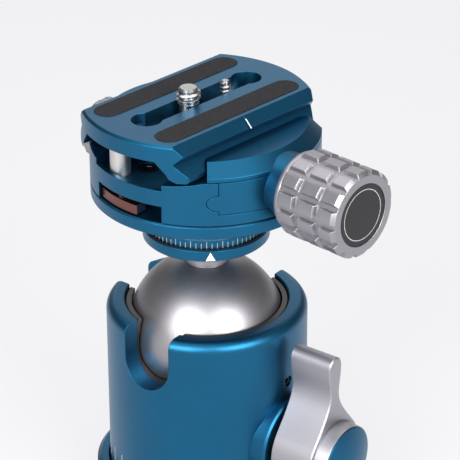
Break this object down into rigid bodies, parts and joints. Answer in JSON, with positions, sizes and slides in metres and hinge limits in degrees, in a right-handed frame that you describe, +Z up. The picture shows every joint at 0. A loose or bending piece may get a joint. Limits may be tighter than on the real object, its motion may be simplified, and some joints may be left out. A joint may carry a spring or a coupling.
{
  "type": "tripod ball head",
  "caption": "Tripod ball head with a panning base, paddle lock lever, slotted ball housing, panning screw-knob clamp and a dovetail quick-release plate with a camera screw.",
  "frame": {"origin": "centre of the base's underside, on the tripod thread's axis", "axes": "+Z up along the stem at rest, +X along the dovetail plate, -Y out of the clamp's knob"},
  "size_m": [0.0633, 0.0938, 0.1202],
  "materials": {
    "anodised_blue": "satin anodised aluminium, deep teal blue",
    "silver": "satin grey anodised aluminium",
    "satin_ball": "fine satin anodised ball",
    "steel": "machined stainless steel",
    "brass": "plain brass",
    "seat_plastic": "smooth brown-grey engineering plastic",
    "bearing_plastic": "dark bearing plastic",
    "black_disc": "satin black disc",
    "copper_latch": "copper-brown anodised aluminium",
    "rubber": "matte cork-rubber grip"
  },
  "bodies": {
    "base": {"base_plate": "anodised_blue", "tripod_thread_bush": "steel", "pan_bearing_washer": "bearing_plastic"},
    "housing_group": {"housing": "anodised_blue", "upper_seat_ring": "seat_plastic", "seat_set_screw": "steel", "lower_cup": "seat_plastic", "retaining_screw_back": "steel", "retaining_screw_front": "steel", "pan_lock_pad": "brass", "lever_thrust_washer": "bearing_plastic"},
    "pan_lock": {"pan_lock_screw": "steel", "pan_lock_knob": "silver"},
    "wedge": {"lock_wedge": "steel"},
    "lever": {"lock_screw": "steel", "lock_lever": "silver", "lever_cap": "anodised_blue"},
    "ball": {"ball_and_stem": "satin_ball", "stem_flange": "anodised_blue", "stem_screw": "steel", "spindle_retainer": "steel", "spindle_washer": "bearing_plastic"},
    "clamp": {"pan_disc": "anodised_blue", "clamp_body": "anodised_blue", "clamp_body_screw_left": "steel", "clamp_body_screw_right": "steel", "clamp_pan_pad": "brass"},
    "jaw": {"moving_jaw": "anodised_blue", "knob_washer": "steel"},
    "jaw_knob": {"clamp_screw": "steel", "clamp_knob": "silver", "clamp_knob_end_disc": "black_disc"},
    "clamp_pan_lock": {"clamp_pan_screw": "steel", "clamp_pan_knob": "silver"},
    "latch": {"safety_latch": "copper_latch"},
    "pin": {"safety_pin": "steel"},
    "plate": {"quick_release_plate": "anodised_blue", "rubber_strip_near": "rubber", "rubber_strip_far": "rubber"},
    "screw_carrier": {"camera_screw_washer": "bearing_plastic"},
    "screw": {"camera_screw": "steel"},
    "stud": {"anti_twist_stud": "steel"}
  },
  "joints": [
    {"name": "base_pan", "type": "hinge", "parent": "base", "child": "housing_group", "pos_m": [0, 0, 0], "axis": [0, 0, 1], "continuous": true},
    {"name": "pan_lock_turn", "type": "hinge", "parent": "housing_group", "child": "pan_lock", "pos_m": [0, 0, 0.0126], "axis": [0.6157, 0.788, 0], "range_deg": [0, 360]},
    {"name": "wedge_travel", "type": "slide", "parent": "housing_group", "child": "wedge", "axis": [0.1219, -0.9925, 0], "range_m": [0, 0.00042]},
    {"name": "lever_turn", "type": "hinge", "parent": "housing_group", "child": "lever", "pos_m": [0, 0, 0.0225], "axis": [0.1219, -0.9925, 0], "range_deg": [0, 120]},
    {"name": "ball_tilt", "type": "hinge", "parent": "housing_group", "child": "ball", "pos_m": [0, 0, 0.0485], "axis": [0.1219, -0.9925, 0], "range_deg": [-90, 90]},
    {"name": "clamp_pan", "type": "hinge", "parent": "ball", "child": "clamp", "pos_m": [0, 0, 0.0895], "axis": [0, 0, 1], "continuous": true},
    {"name": "jaw_travel", "type": "slide", "parent": "clamp", "child": "jaw", "axis": [0, -1, 0], "range_m": [0, 0.003]},
    {"name": "knob_turn", "type": "hinge", "parent": "jaw", "child": "jaw_knob", "pos_m": [0, -0.0353, 0.1004], "axis": [0, -1, 0], "range_deg": [0, 1080]},
    {"name": "clamp_pan_lock_turn", "type": "hinge", "parent": "clamp", "child": "clamp_pan_lock", "pos_m": [0, 0.032, 0.0948], "axis": [0, 1, 0], "range_deg": [0, 360]},
    {"name": "latch_press", "type": "slide", "parent": "clamp", "child": "latch", "axis": [1, 0, 0], "range_m": [0, 0.001], "stiffness_N_per_m": 300, "springref_m": -0.002},
    {"name": "pin_drop", "type": "slide", "parent": "clamp", "child": "pin", "axis": [0, 0, -1], "range_m": [0, 0.00174]},
    {"name": "plate_slide", "type": "slide", "parent": "clamp", "child": "plate", "axis": [1, 0, 0], "range_m": [-0.004, 0.0024]},
    {"name": "screw_shift", "type": "slide", "parent": "plate", "child": "screw_carrier", "axis": [1, 0, 0], "range_m": [-0.006, 0.001]},
    {"name": "camera_screw_turn", "type": "hinge", "parent": "screw_carrier", "child": "screw", "pos_m": [-0.006, 0, 0.111], "axis": [0, 0, 1], "continuous": true},
    {"name": "stud_shift", "type": "slide", "parent": "plate", "child": "stud", "axis": [1, 0, 0], "range_m": [-0.001, 0.008]}
  ],
  "couplings": [
    {"joint": "wedge_travel", "follows": "lever_turn", "m_per_rad": 0.000199},
    {"joint": "jaw_travel", "follows": "knob_turn", "m_per_rad": 0.000159},
    {"joint": "pin_drop", "follows": "latch_press", "ratio": 1.7321}
  ]
}
